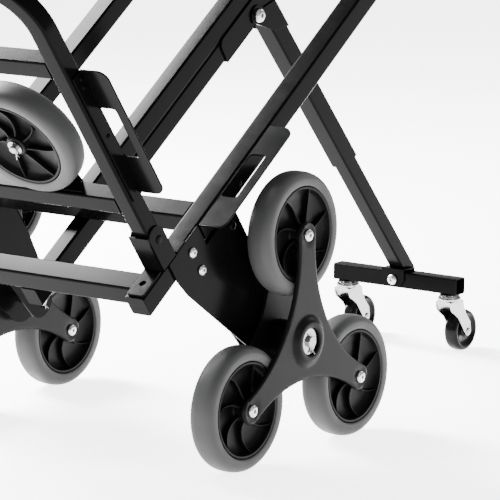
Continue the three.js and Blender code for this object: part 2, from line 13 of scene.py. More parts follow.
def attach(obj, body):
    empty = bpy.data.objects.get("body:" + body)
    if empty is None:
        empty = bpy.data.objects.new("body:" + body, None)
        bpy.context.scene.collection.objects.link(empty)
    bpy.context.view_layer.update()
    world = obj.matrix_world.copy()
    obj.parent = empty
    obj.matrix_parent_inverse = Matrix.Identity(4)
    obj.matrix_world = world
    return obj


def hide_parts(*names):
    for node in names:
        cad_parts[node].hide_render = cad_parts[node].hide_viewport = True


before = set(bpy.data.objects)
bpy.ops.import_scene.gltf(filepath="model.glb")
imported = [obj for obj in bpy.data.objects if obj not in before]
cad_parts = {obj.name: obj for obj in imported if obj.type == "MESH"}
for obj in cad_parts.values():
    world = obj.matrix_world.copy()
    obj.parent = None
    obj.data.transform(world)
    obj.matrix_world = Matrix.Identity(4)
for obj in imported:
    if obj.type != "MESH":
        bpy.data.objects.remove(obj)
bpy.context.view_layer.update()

# ---------- Dimensions, the same as in the CAD part ----------

GAP = 0.3
SHEET = 2.5
FRAME_TILT = math.radians(35.4)
TUBE = 30
BORE = 27
UPRIGHT_X = 199
UPRIGHT_LENGTH = 800
UPRIGHT_FLOOR = 3
BARS = {"bottom_bar": 29, "lower_bar": 162, "top_bar": 780}
RAIL_WIDTH = 25
BRACE_TOP = 700
ARM_TUBE = 25
ARM_X = 202
PIN_Y = 65.5
PIN_Z = 42
AXLE_BRACKET_BOTTOM = 62
AXLE_BRACKET_FRONT_TOP = 134
AXLE_BRACKET_TOP = 205
INNER_PLATE_FOOT = 112
WEB_FRONT = -33
WEB_BACK = -125
OUTER_HUB_RADIUS = 36
INNER_HUB_RADIUS = 26
TAB = (84, 104)
HINGE_BASE = (3, 60)
HINGE_CHEEK = (48, 80)
HINGE_CHEEK_CENTRE_Z = 46
HINGE_WEB_TOP = 58
PLATFORM_REACH = 470
PLATFORM_BEND = 72.5
PLATFORM_BARS = {"rear_bar": 106, "front_bar": 329.5}
WING_WIDTH = 40
SLOT_WIDTH = 24
SLOT_LENGTH = 80
SIDE_WING_LENGTH = 189
PLATFORM_WING_LENGTH = 201
WHEEL_RADIUS = 82.5
WHEEL_HALF_WIDTH = 18.5
HUB_HALF_WIDTH = WHEEL_HALF_WIDTH + 1
RIM_VANES = 7
RIM_RADIUS = 64
BOLT_RADIUS = 5.5
RUNNING_CLEARANCE = 0.4
SPARE = (85, 58, 208)
STAR_RADIUS = 141
STAR_PLATE = 5.5
STAR_TIP = 18
STAR_WAIST = 51
STAR_BORE = 18.5
BOSS_HEIGHT = 6
BOSS_FOOT = 36  # radius where the raised boss starts to rise
BOSS_SLOPE = 11
BOLT_PAD_RADIUS = 13
BOLT_PAD_DEPTH = 1.3
RIM_EASE = 3
CLUSTER_X = 252
SPINDLE_RADIUS = 8
COLLAR_RADIUS = 13
SPACER_RADIUS = 14
WASHER_RADIUS = 17
SPINDLE_ON_FRAME = (165, -230)
CLUSTER_Y = -97.6
CLUSTER_HEIGHT = WHEEL_RADIUS + STAR_RADIUS / 2
LEG_PIVOT = (588.7, -53)
LEG_DROP = math.radians(49.5)
LEG_OFFSET = 27.9
LEG_BRACKET = (500, 665)
LEG_BRACKET_FRONT = -28
LEG_BRACKET_CORNER = 12
LEG_HEAD_RADIUS = 15
BOLT_BORE = 4.4  # radius of the holes for the 8 mm bolts
SHANK_RADIUS = 4
SLEEVE = (19, 336)
LEG_TUBE = 25
LEG_TUBE_START = 262
CASTER_BAR_ALONG = 583
CASTER_BAR_OFFSET = 9.3
CASTER_BAR = 25
CASTER_BAR_LENGTH = 224
CASTER_BAR_WALL = 1.5
SADDLE_HALF_LENGTH = 20
SADDLE_LIFT = 2
CASTER_X = 93
CASTER_RADIUS = 31.5
CASTER_HALF_WIDTH = 11
CASTER_TRAIL = 32
CASTER_AXLE_RADIUS = 3.5
FORK_SHEET = 2
HANDLE_TUBE = 25
HANDLE_BOTTOM = 640
HANDLE_TOP = 1150
HANDLE_BEND = 60
GRIP_LENGTH = 220
GRIP_SIZE = 33

CREASE = 38  # faces that meet at more degrees than this have a sharp edge between them
MOULDED_CREASE = 50
SOFT_CREASE = 60

SIDES = {"right": 1, "left": -1}
WHEEL_PLACES = ("top", "front", "rear")

# ---------- Places ----------


def shift(x, y, z):
    return Matrix.Translation((x, y, z))


def turn(degrees, axis):
    return Matrix.Rotation(math.radians(degrees), 4, axis)


MIRROR = Matrix.Scale(-1, 4, (1, 0, 0))
tilt = Matrix.Rotation(FRAME_TILT, 4, "X")
spindle_offset = tilt @ Vector((0, *SPINDLE_ON_FRAME))
ON_FRAME = shift(0, CLUSTER_Y - spindle_offset.y, CLUSTER_HEIGHT - spindle_offset.z) @ tilt
ON_LEG = ON_FRAME @ shift(0, *LEG_PIVOT) @ Matrix.Rotation(-LEG_DROP - FRAME_TILT, 4, "X")
caster_bar_centre = ON_LEG @ Vector((0, CASTER_BAR_ALONG, CASTER_BAR_OFFSET))
ON_CASTER_BAR = Matrix.Translation(caster_bar_centre)
AXLE_DROP = CASTER_RADIUS - (caster_bar_centre.z - CASTER_BAR / 2)

# ---------- Materials ----------


def noise(tree, scale, detail):
    coordinates = tree.nodes.new("ShaderNodeTexCoord")
    texture = tree.nodes.new("ShaderNodeTexNoise")
    texture.inputs["Scale"].default_value = scale
    texture.inputs["Detail"].default_value = detail
    tree.links.new(coordinates.outputs["Object"], texture.inputs["Vector"])
    return texture.outputs["Fac"]


def ramp(tree, factor, low, high):
    node = tree.nodes.new("ShaderNodeValToRGB")
    node.color_ramp.elements[0].position = 0.3
    node.color_ramp.elements[0].color = (*low, 1)
    node.color_ramp.elements[1].position = 0.7
    node.color_ramp.elements[1].color = (*high, 1)
    tree.links.new(factor, node.inputs["Fac"])
    return node.outputs["Color"]


def finish_of(name, dark, light, rough, metallic=0.0, level=0.5, grain=900, depth=0.00004):
    """A surface with a slight drift of colour and roughness and a fine grain."""
    made = bpy.data.materials.new(name)
    made.use_nodes = True
    tree = made.node_tree
    shader = tree.nodes["Principled BSDF"]
    shader.inputs["Metallic"].default_value = metallic
    shader.inputs["Specular IOR Level"].default_value = level
    tree.links.new(ramp(tree, noise(tree, 14, 5), dark, light), shader.inputs["Base Color"])
    low, high = rough
    roughness = ramp(tree, noise(tree, 45, 6), (low,) * 3, (high,) * 3)
    tree.links.new(roughness, shader.inputs["Roughness"])
    bump = tree.nodes.new("ShaderNodeBump")
    bump.inputs["Strength"].default_value = 0.12
    bump.inputs["Distance"].default_value = depth
    tree.links.new(noise(tree, grain, 2), bump.inputs["Height"])
    tree.links.new(bump.outputs["Normal"], shader.inputs["Normal"])
    return made


def grey(dark, light):
    return (dark,) * 3, (light,) * 3


PAINT = finish_of("black_powder_coat", *grey(0.0012, 0.0018), (0.17, 0.21), level=0.02)
STAR_PLASTIC = finish_of("star_plastic", *grey(0.002, 0.003), (0.28, 0.35), level=0.05, grain=1500)
RIM_PLASTIC = finish_of("rim_plastic", *grey(0.0012, 0.002), (0.34, 0.42), level=0.06, grain=1500)
TYRE_RUBBER = finish_of("grey_rubber", *grey(0.026, 0.033), (0.5, 0.6), level=0.2, grain=1200)
ZINC = finish_of("bright_zinc", *grey(0.38, 0.5), (0.2, 0.3), metallic=1.0, grain=600)
CHROME = finish_of("chrome_plate", *grey(0.22, 0.3), (0.1, 0.17), metallic=1.0, grain=500)
CASTER_PLASTIC = finish_of("caster_nylon", *grey(0.001, 0.0016), (0.2, 0.27), level=0.08)
FOAM = finish_of("grip_foam", *grey(0.01, 0.015), (0.85, 0.95), level=0.2, grain=700, depth=0.0003)

# ---------- Mesh building ----------


class Build:
    """Points and faces of one piece, gathered from several shapes."""

    def __init__(self):
        self.points = []
        self.faces = []

    def add(self, shape, place=None):
        points, faces = shape
        start = len(self.points)
        moved = points if place is None else [place @ Vector(p) for p in points]
        self.points += [tuple(p) for p in moved]
        self.faces += [[start + i for i in face] for face in faces]
        return self


def mesh_piece(name, build, place, material, body, replaced=(), crease=CREASE):
    mesh = bpy.data.meshes.new(name)
    mesh.from_pydata(build.points, [], build.faces)
    work = bmesh.new()
    work.from_mesh(mesh)
    bmesh.ops.remove_doubles(work, verts=work.verts, dist=0.004)
    bmesh.ops.transform(work, matrix=Matrix.Scale(0.001, 4) @ place, verts=work.verts)
    bmesh.ops.recalc_face_normals(work, faces=work.faces)
    work.to_mesh(mesh)
    work.free()
    mesh.shade_smooth()
    mesh.set_sharp_from_angle(angle=math.radians(crease))
    mesh.materials.append(material)
    made = bpy.data.objects.new(name, mesh)
    bpy.context.scene.collection.objects.link(made)
    if crease < SOFT_CREASE:  # keeps large faces flat beside their rounded edges
        flat_faces = made.modifiers.new("flat_faces", "WEIGHTED_NORMAL")
        flat_faces.keep_sharp = True
    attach(made, body)
    if replaced:
        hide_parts(*replaced)
    return made


def pair(name, build, place, material, body, node=None, crease=CREASE):
    """The same piece on both sides. A body or node name with {} takes the side's name."""
    for side in SIDES:
        at = place if side == "right" else MIRROR @ place
        nodes = [node.format(side)] if node else []
        mesh_piece(f"{name}_{side}", build, at, material, body.format(side), nodes, crease)


def chain(rings, loop=False):
    """Closed rings of points joined one to the next; the ends are capped unless it loops."""
    count = len(rings[0])
    points = [p for ring in rings for p in ring]
    faces = []
    pairs = len(rings) if loop else len(rings) - 1
    for k in range(pairs):
        a, b = k * count, (k + 1) % len(rings) * count
        for i in range(count):
            j = (i + 1) % count
            faces.append([a + i, a + j, b + j, b + i])
    if not loop:
        faces.append(list(range(count))[::-1])
        faces.append([len(points) - count + i for i in range(count)])
    return points, faces


def lathe(profile, steps=64):
    """A piece turned about the x axis, from closed points of (radius, x)."""
    rings = []
    for radius, x in profile:
        angles = [2 * math.pi * k / steps for k in range(steps)]
        rings.append([(x, radius * math.cos(a), radius * math.sin(a)) for a in angles])
    return chain(rings, loop=True)


def arc(centre, radius, start, end, steps=8):
    """Points on an arc; start and end are in degrees."""
    angles = [math.radians(start + (end - start) * k / steps) for k in range(steps + 1)]
    return [(centre[0] + radius * math.cos(a), centre[1] + radius * math.sin(a)) for a in angles]


def rounded(half_a, half_b, radius, steps=4):
    """A rectangle's outline with rounded corners, about its middle."""
    a, b = half_a - radius, half_b - radius
    return (
        arc((a, b), radius, 0, 90, steps)
        + arc((-a, b), radius, 90, 180, steps)
        + arc((-a, -b), radius, 180, 270, steps)
        + arc((a, -b), radius, 270, 360, steps)
    )


def straight(start, end, half_a, half_b, corner=3.0, chamfer=0.8):
    """A closed bar along x with rounded long edges; half_a is its y and half_b its z half-size."""
    rings = []
    for x, inset in ((start, chamfer), (start + chamfer, 0), (end - chamfer, 0), (end, chamfer)):
        outline = rounded(half_a - inset, half_b - inset, corner - inset / 2)
        rings.append([(x, a, b) for a, b in outline])
    return chain(rings)


def sleeve(start, end, half, bore, corner=3.0, closed_until=None):
    """A square tube along x. It is open at both ends, or closed up to closed_until."""
    def ring(x, size, radius):
        return [(x, a, b) for a, b in rounded(size, size, radius)]

    outside = [ring(start, half - 0.5, corner), ring(start + 0.6, half, corner)]
    outside += [ring(end - 0.6, half, corner), ring(end, half - 0.5, corner)]
    inner_start = start if closed_until is None else closed_until
    inside = [ring(end, bore, corner / 2), ring(inner_start, bore, corner / 2)]
    return chain(outside + inside, loop=closed_until is None)


def bent_tube(half_span, start, end, bend, half, corner=3.0, round_end=False, steps=16):
    """A square tube bent into a U in the x and y plane, its legs starting at y = start."""
    line = [((half_span, start), (1, 0), 1.0)]
    for middle, first in ((half_span - bend, 0), (-half_span + bend, 90)):
        for k in range(steps + 1):
            angle = math.radians(first + 90 * k / steps)
            out = (math.cos(angle), math.sin(angle))
            line.append(((middle + bend * out[0], end - bend + bend * out[1]), out, 1.0))
    line.append(((-half_span, start), (-1, 0), 1.0))
    if round_end:
        angles = [math.radians(a) for a in (82, 65, 48, 32, 16)]
        tips = [(start - half * math.sin(a), math.cos(a)) for a in angles]
        line = [((half_span, y), (1, 0), s) for y, s in tips] + line
        line += [((-half_span, y), (-1, 0), s) for y, s in reversed(tips)]
    outline = rounded(half, half, corner)
    rings = []
    for (x, y), (ox, oy), squeeze in line:
        rings.append([(x + a * ox, y + a * oy, b * squeeze) for a, b in outline])
    return chain(rings)


def plate(loops, thickness, edge=0.5):
    """A flat plate in x and y with holes and eased edges; its lower face is at z = 0."""
    curve = bpy.data.curves.new("outline", "CURVE")
    curve.dimensions = "2D"
    curve.fill_mode = "BOTH"
    curve.extrude = thickness / 2 - edge
    curve.bevel_depth = edge
    curve.bevel_resolution = 2
    curve.offset = -edge
    for loop in loops:
        spline = curve.splines.new("POLY")
        spline.points.add(len(loop) - 1)
        spline.use_cyclic_u = True
        for point, (x, y) in zip(spline.points, loop):
            point.co = (x, y, 0, 1)
    holder = bpy.data.objects.new("outline", curve)
    mesh = bpy.data.meshes.new_from_object(holder)
    points = [(v.co.x, v.co.y, v.co.z + thickness / 2) for v in mesh.vertices]
    faces = [list(p.vertices) for p in mesh.polygons]
    bpy.data.objects.remove(holder)
    bpy.data.curves.remove(curve)
    bpy.data.meshes.remove(mesh)
    return points, faces


def rectangle(x0, x1, y0, y1):
    return [(x0, y0), (x1, y0), (x1, y1), (x0, y1)]


def circle(x, y, radius, steps=32):
    return arc((x, y), radius, 0, 360 - 360 / steps, steps - 1)


# Where a plate drawn flat goes when its own x and y are the frame's y and z.
ACROSS = Matrix(((0, 0, 1, 0), (1, 0, 0, 0), (0, 1, 0, 0), (0, 0, 0, 1)))
# Where a plate drawn in the frame's x and z goes, rising along y.
UP_Y = Matrix(((1, 0, 0, 0), (0, 0, 1, 0), (0, 1, 0, 0), (0, 0, 0, 1)))
# Where a piece made along x goes when it runs along y.
X_TO_Y = turn(90, "Z")


def dome_head(radius, height, steps=40):
    """A round bolt head on x = 0 with a washer rim and a socket."""
    return lathe(
        [
            (0, -0.5), (radius, -0.5), (radius, height * 0.3), (radius * 0.95, height * 0.6),
            (radius * 0.78, height * 0.88), (radius * 0.5, height), (radius * 0.34, height),
            (radius * 0.3, height * 0.45), (0, height * 0.4),
        ],
        steps,
    )


def shank(radius, reach):
    """The profile of a bolt's shank that reaches as far to both sides."""
    return [(0, -reach), (radius, -reach), (radius, reach), (0, reach)]


def hex_head(radius, height):
    """A hexagon head or nut on x = 0 with a chamfered top, over a round washer."""
    shape = Build()
    shape.add(lathe([(0, -0.5), (radius * 1.35, -0.5), (radius * 1.35, 1.2), (0, 1.2)], 32))
    flats = [(0, 1), (radius, 1), (radius, height - 1), (radius * 0.86, height), (0, height)]
    shape.add(lathe(flats, 6))
    end = height + 1.6
    thread = [(0, height - 1), (radius * 0.5, height - 1), (radius * 0.42, end), (0, end)]
    shape.add(lathe(thread, 24))
    return shape.points, shape.faces


# ---------- Ladder frame ----------


def uprights():
    shape = sleeve(0, UPRIGHT_LENGTH, TUBE / 2, BORE / 2, closed_until=UPRIGHT_FLOOR)
    tube = Build().add(shape, X_TO_Y)
    place = ON_FRAME @ shift(UPRIGHT_X, 0, -TUBE / 2)
    pair("upright", tube, place, PAINT, "frame", "upright_{}")


def crossbars():
    reach = UPRIGHT_X - TUBE / 2 - GAP
    for name, y in BARS.items():
        bar = Build().add(straight(-reach, reach, TUBE / 2, TUBE / 2, chamfer=0.2))
        place = ON_FRAME @ shift(0, y, -TUBE / 2)
        mesh_piece(name, bar, place, PAINT, "frame", [name])


def centre_tubes():
    half = RAIL_WIDTH / 2
    start = BARS["lower_bar"] + TUBE / 2 + GAP
    rail = Build().add(straight(start, BARS["top_bar"] - TUBE / 2 - GAP, half, TUBE / 2), X_TO_Y)
    place = ON_FRAME @ shift(0, 0, -TUBE / 2)
    mesh_piece("centre_rail", rail, place, PAINT, "frame", ["centre_rail"])
    depth = (TUBE - GAP) / 2
    brace = Build().add(straight(BARS["bottom_bar"] - TUBE / 2, BRACE_TOP, half, depth), X_TO_Y)
    place = ON_FRAME @ shift(0, 0, -TUBE - GAP - depth)
    mesh_piece("centre_brace", brace, place, PAINT, "frame", ["centre_brace"])


def axle_brackets():
    outer_face = UPRIGHT_X + TUBE / 2 + RUNNING_CLEARANCE
    inner_face = UPRIGHT_X - TUBE / 2 - RUNNING_CLEARANCE
    hub = SPINDLE_ON_FRAME
    hole = circle(*hub, SPINDLE_RADIUS + RUNNING_CLEARANCE)
    top, bottom = AXLE_BRACKET_TOP, AXLE_BRACKET_BOTTOM
    front_top = AXLE_BRACKET_FRONT_TOP
    outer = [(front_top, 0), (bottom, 0), (bottom, -TUBE), (bottom + 6, -2 * TUBE)]
    outer += arc(hub, OUTER_HUB_RADIUS, 180, 351, 20)
    outer += [(top, WEB_BACK), (top, WEB_FRONT), (front_top, WEB_FRONT)]
    inner = [(top, WEB_FRONT), (INNER_PLATE_FOOT, WEB_FRONT)]
    inner += arc(hub, INNER_HUB_RADIUS, 180, 351, 16) + [(top, WEB_BACK)]
    shape = Build()
    shape.add(plate([outer, hole], SHEET, 0.4), shift(outer_face, 0, 0) @ ACROSS)
    shape.add(plate([inner, hole], SHEET, 0.4), shift(inner_face - SHEET, 0, 0) @ ACROSS)
    left, right = inner_face - SHEET, outer_face + SHEET
    web = rectangle(left, right, WEB_BACK, WEB_FRONT)
    shape.add(plate([web], SHEET, 0.4), shift(0, top - SHEET, 0) @ UP_Y)
    tab = rectangle(UPRIGHT_X, right, *TAB)
    shape.add(plate([tab], SHEET, 0.6), shift(0, 0, GAP))
    side = rectangle(*TAB, -1, GAP + SHEET)
    shape.add(plate([side], SHEET, 0.4), shift(outer_face, 0, 0) @ ACROSS)
    pair("axle_bracket", shape, ON_FRAME, PAINT, "frame", "axle_bracket_{}")
    bolts = Build()
    for y, z in ((106, -20), (107, -52)):
        bolts.add(dome_head(7, 4), shift(right, y, z))
        bolts.add(hex_head(6, 6), shift(left, y, z) @ turn(180, "Z"))
    pair("axle_bracket_bolt", bolts, ON_FRAME, ZINC, "frame")
    black_bolt = Build().add(dome_head(6.5, 4), shift(right, 187, -49))
    pair("axle_bracket_screw", black_bolt, ON_FRAME, PAINT, "frame")


def hinge_brackets():
    inside = ARM_TUBE / 2 + RUNNING_CLEARANCE
    outside = inside + SHEET
    near, far = HINGE_CHEEK
    middle = (near + far) / 2
    round_top = arc((middle, HINGE_CHEEK_CENTRE_Z), far - middle, 0, 180, 16)
    cheek = [(far, GAP)] + round_top + [(near, GAP)]
    x0, x1 = ARM_X - outside, UPRIGHT_X + TUBE / 2 - 1
    y0, y1 = HINGE_BASE
    outline = rounded((x1 - x0) / 2, (y1 - y0) / 2, 4)
    tab = [(x + (x0 + x1) / 2, y + (y0 + y1) / 2) for x, y in outline]
    shape = Build()
    shape.add(plate([tab, circle(ARM_X - 2, 24, 4.5)], SHEET, 0.5), shift(0, 0, GAP))
    for x in (ARM_X - outside, ARM_X + inside):
        shape.add(plate([cheek], SHEET, 0.4), shift(x, 0, 0) @ ACROSS)
    web = rectangle(ARM_X - outside, ARM_X + outside, GAP, HINGE_WEB_TOP)
    shape.add(plate([web], SHEET, 0.4), shift(0, near, 0) @ UP_Y)
    base = rectangle(ARM_X - outside, ARM_X + outside, near, far)
    shape.add(plate([base], SHEET, 0.4), shift(0, 0, GAP))
    pin = [(0, -outside - 1.5), (4, -outside - 1.5), (4.5, -outside - 1), (4.5, outside)]
    pin += [(6, outside), (6, outside + 0.6), (5, outside + 1.2), (0, outside + 1.2)]
    shape.add(lathe(pin, 32), shift(ARM_X, PIN_Y, PIN_Z))
    pair("hinge_bracket", shape, ON_FRAME, PAINT, "frame", "hinge_bracket_{}")


def strap_wing(length, flange_depth, rivets):
    """A flat slotted wing on a riveted flange, drawn as in the CAD part."""
    outline = [(0, 0)] + arc((WING_WIDTH - 14, 14), 14, -90, 0, 10)
    outline += arc((WING_WIDTH - 16, length - 16), 16, 0, 90, 10) + [(0, length)]
    middle = (SHEET + SLOT_WIDTH / 2, length / 2)
    slot = [(x + middle[0], y + middle[1]) for x, y in rounded(SLOT_WIDTH / 2, SLOT_LENGTH / 2, 4)]
    shape = Build().add(plate([outline, slot], SHEET, 0.5), shift(0, 0, -SHEET))
    flange = rectangle(0, length, -flange_depth, -SHEET / 2)
    shape.add(plate([flange], SHEET, 0.4), ACROSS)
    for along, down in rivets:
        shape.add(dome_head(3.2, 1.8, 20), shift(SHEET, along, -down))
    return shape


def side_wings():
    wing = strap_wing(SIDE_WING_LENGTH, 24, ((14, 14), (94, 14), (175, 14)))
    place = ON_FRAME @ shift(UPRIGHT_X + TUBE / 2 + GAP, 138, -2)
    pair("side_wing", wing, place, PAINT, "frame", "side_wing_{}")


def leg_bracket():
    inside = RAIL_WIDTH / 2 + GAP
    outside = inside + SHEET
    back = -2 * TUBE - GAP
    start, end = LEG_BRACKET
    corner = LEG_BRACKET_CORNER
    cheek = [(end, LEG_BRACKET_FRONT)]
    cheek += arc((start + corner, LEG_BRACKET_FRONT - corner), corner, 90, 180, 10)
    cheek += [(start, back - SHEET), (end, back - SHEET)]
    hole = circle(*LEG_PIVOT, BOLT_BORE)
    shape = Build()
    for x in (inside, -outside):
        shape.add(plate([cheek, hole], SHEET, 0.4), shift(x, 0, 0) @ ACROSS)
    wrap = rectangle(-outside, outside, start, end)
    shape.add(plate([wrap], SHEET, 0.4), shift(0, 0, back - SHEET))
    mesh_piece("leg_bracket", shape, ON_FRAME, PAINT, "frame", ["leg_bracket"])
    face = TUBE / 2 + 0.6 + SHEET + GAP
    bolt = Build().add(lathe(shank(SHANK_RADIUS, face), 24))
    bolt.add(dome_head(10, 6), shift(face + 0.5, 0, 0))
    bolt.add(hex_head(7.5, 6.5), shift(-face - 0.5, 0, 0) @ turn(180, "Z"))
    place = ON_FRAME @ shift(0, *LEG_PIVOT)
    mesh_piece("leg_pivot_bolt", bolt, place, ZINC, "frame", ["leg_pivot_bolt"])


# ---------- Wheels ----------


def tyre_shape():
    """A solid rubber ring: flat bead faces, a soft shoulder and a rounded tread."""
    inner = RIM_RADIUS + GAP
    shoulder = RIM_RADIUS + 6
    edges = ((0, 3), (0, 1.6), (0.8, 0.8), (2, 0.5), (3, 0.3))
    side = [(inner + out, WHEEL_HALF_WIDTH - back) for out, back in edges]
    for k in range(1, 13):
        angle = math.radians(90 * k / 12)
        x = WHEEL_HALF_WIDTH * math.cos(angle) ** 0.72
        side.append((shoulder + (WHEEL_RADIUS - shoulder) * math.sin(angle) ** 0.78, x))
    other = [(radius, -x) for radius, x in reversed(side[:-1])]
    return lathe(side + other, 96)


def vane(side, angle):
    """One curved blade of a rim, between the hub and the outer band."""
    steps = 12
    rings = []
    for k in range(steps + 1):
        share = k / steps
        radius = 13 + (RIM_RADIUS - 17) * share
        at = angle + side * 0.42 * share ** 1.6
        half = 1.5 - 0.5 * share
        top = WHEEL_HALF_WIDTH - 2.5 - 5.5 * math.sin(math.pi * share) ** 0.8
        across = (-math.sin(at), math.cos(at))
        centre = (radius * math.cos(at), radius * math.sin(at))
        section = [(-half, 3), (half, 3), (half, top - 0.8)]
        section += [(half * 0.5, top), (-half * 0.5, top), (-half, top - 0.8)]
        ring = []
        for offset, x in section:
            ring.append((side * x, centre[0] + offset * across[0], centre[1] + offset * across[1]))
        rings.append(ring)
    return chain(rings)


def rim_shape():
    """A moulded rim: a hub, a web, a raised band under the tyre and seven vanes on each face."""
    bore = BOLT_RADIUS + RUNNING_CLEARANCE
    hub = HUB_HALF_WIDTH
    edge, face = RIM_RADIUS, WHEEL_HALF_WIDTH
    side = [
        (bore, hub), (12.5, hub), (14, hub - 1.5), (15, 8), (17, 5.5), (24, 4), (44, 4), (edge - 10, 6),
        (edge - 6, 10), (edge - 4.8, face - 2.5), (edge - 3.8, face - 1.4), (edge - 1.6, face - 1.4),
        (edge - 0.4, face - 2.4), (edge, face - 4),
    ]
    profile = side + [(radius, -x) for radius, x in reversed(side)]
    shape = Build().add(lathe(profile, 72))
    for face in (1, -1):
        for k in range(RIM_VANES):
            shape.add(vane(face, 2 * math.pi * k / RIM_VANES))
    return shape


RIM = rim_shape()
TYRE = Build().add(tyre_shape())


def wheel(rim_name, tyre_name, place, body):
    mesh_piece(rim_name, RIM, place, RIM_PLASTIC, body, [rim_name])
    mesh_piece(tyre_name, TYRE, place, TYRE_RUBBER, body, [tyre_name], SOFT_CREASE)


# ---------- Platform ----------


def platform():
    half = ARM_TUBE / 2
    bent = bent_tube(ARM_X, PIN_Z, PLATFORM_REACH - half, PLATFORM_BEND, half, 3.5, round_end=True)
    loop = Build().add(bent, UP_Y)
    place = ON_FRAME @ shift(0, PIN_Y, 0)
    mesh_piece("platform_loop", loop, place, PAINT, "platform", ["platform_loop"])
    reach = ARM_X - half - GAP
    for name, z in PLATFORM_BARS.items():
        bar = Build().add(straight(-reach, reach, half, half, 2.5, 0.2))
        place = ON_FRAME @ shift(0, PIN_Y, z)
        mesh_piece(name, bar, place, PAINT, "platform", [name])
    wing = strap_wing(PLATFORM_WING_LENGTH, 20, ((8, 8), (20, 10), (100, 10), (190, 10)))
    place = ON_FRAME @ shift(ARM_X + half + GAP, PIN_Y + half, 315) @ turn(-90, "X")
    pair("platform_wing", wing, place, PAINT, "platform", "platform_wing_{}")


def wheel_brackets():
    x, _, z = SPARE
    low = PLATFORM_BARS["rear_bar"] - ARM_TUBE / 2
    top = PLATFORM_BARS["rear_bar"] + ARM_TUBE / 2 + GAP
    face = PIN_Y + ARM_TUBE / 2 + GAP
    near, far = x - 30, x + 36
    outline = [(near, low), (far, low), (far, top)] + arc((x, z), 14, 0, 180, 12) + [(near, top)]
    lip_edge = PIN_Y - 8
    lip = [(near, face), (far, face), (far + 16, lip_edge), (near, lip_edge)]
    shape = Build().add(plate([outline], SHEET, 0.4), shift(0, face, 0) @ UP_Y)
    shape.add(plate([lip], SHEET, 0.4), shift(0, 0, top))
    shape.add(dome_head(4, 2.5, 24), shift(x + 22, PIN_Y + 4, top + SHEET) @ turn(-90, "Y"))
    pair("wheel_bracket", shape, ON_FRAME, PAINT, "platform", "wheel_bracket_{}")
    end = WHEEL_HALF_WIDTH + 8
    radius = BOLT_RADIUS
    axle = Build().add(lathe([(0, 0), (radius, 0), (radius, end - 1), (radius - 1, end), (0, end)], 40))
    washer = HUB_HALF_WIDTH + GAP
    flat = washer + 1.6
    axle.add(lathe([(radius, washer), (10, washer), (10, flat), (radius, flat)], 40))
    axle.add(split_pin(2.0, 9), shift(washer + 3.6, 0, 0))
    place = ON_FRAME @ shift(*SPARE) @ turn(-90, "Z")
    pair("spare_axle", axle, place, CHROME, "platform")


def split_pin(thickness, reach):
    """A split pin through a shaft that runs along x, with its bent ends."""
    half = thickness / 2
    pin = Build().add(straight(-reach, reach + 3, half, half, half - 0.1, 0.2), turn(90, "Y"))
    for lean in (24, -24):
        tail = straight(0, 7, thickness / 3, half, 0.4, 0.2)
        pin.add(tail, shift(0, 0, -reach) @ turn(90 + lean, "Y"))
    return pin.points, pin.faces


def spare_wheels():
    for side, sign in SIDES.items():
        x, y, z = SPARE
        place = ON_FRAME @ shift(sign * x, y, z) @ X_TO_Y
        wheel(f"spare_rim_{side}", f"spare_tyre_{side}", place, f"spare_wheel_{side}")


# ---------- Tri-star clusters ----------

# Each concave flank is an arc that touches two tips and passes the waist between them.
tip_along = STAR_RADIUS / 2
tip_across = STAR_RADIUS * math.sqrt(3) / 2
waist_gap = STAR_WAIST - tip_along
FLANK = (waist_gap ** 2 + tip_across ** 2 - STAR_TIP ** 2) / (2 * (STAR_TIP - waist_gap))
FLANK_CENTRE = FLANK + STAR_WAIST
TANGENT = math.atan2(tip_across, FLANK_CENTRE - tip_along)


def star_edge_distance(along, across):
    """How far a point on one arm is inside the star's outline."""
    cx, cy = FLANK_CENTRE / 2, FLANK_CENTRE * math.sqrt(3) / 2
    flank = math.hypot(along - cx, abs(across) - cy) - FLANK
    tip = STAR_TIP - math.hypot(along - STAR_RADIUS, across)
    return flank if along < STAR_RADIUS - 1 else tip


def star_height(along, across, bore, boss):
    """Height of the moulded face above its edge: eased rim, raised boss and sunk bolt pads."""
    inside = star_edge_distance(along, across)
    radius = math.hypot(along, across)
    near = min(max(inside, 0), RIM_EASE)
    height = math.sqrt(max(RIM_EASE ** 2 - (RIM_EASE - near) ** 2, 0)) - RIM_EASE
    lift = min(max((BOSS_FOOT - radius) / BOSS_SLOPE, 0), 1)
    height += boss * lift * lift * (3 - 2 * lift)
    dip = min(max((radius - bore) / 2, 0), 1)
    height -= 1.0 * (1 - dip) ** 2
    pad = math.hypot(along - STAR_RADIUS, across)
    if pad < BOLT_PAD_RADIUS:
        height -= BOLT_PAD_DEPTH * min((BOLT_PAD_RADIUS - pad) / 2.5, 1)
    return height


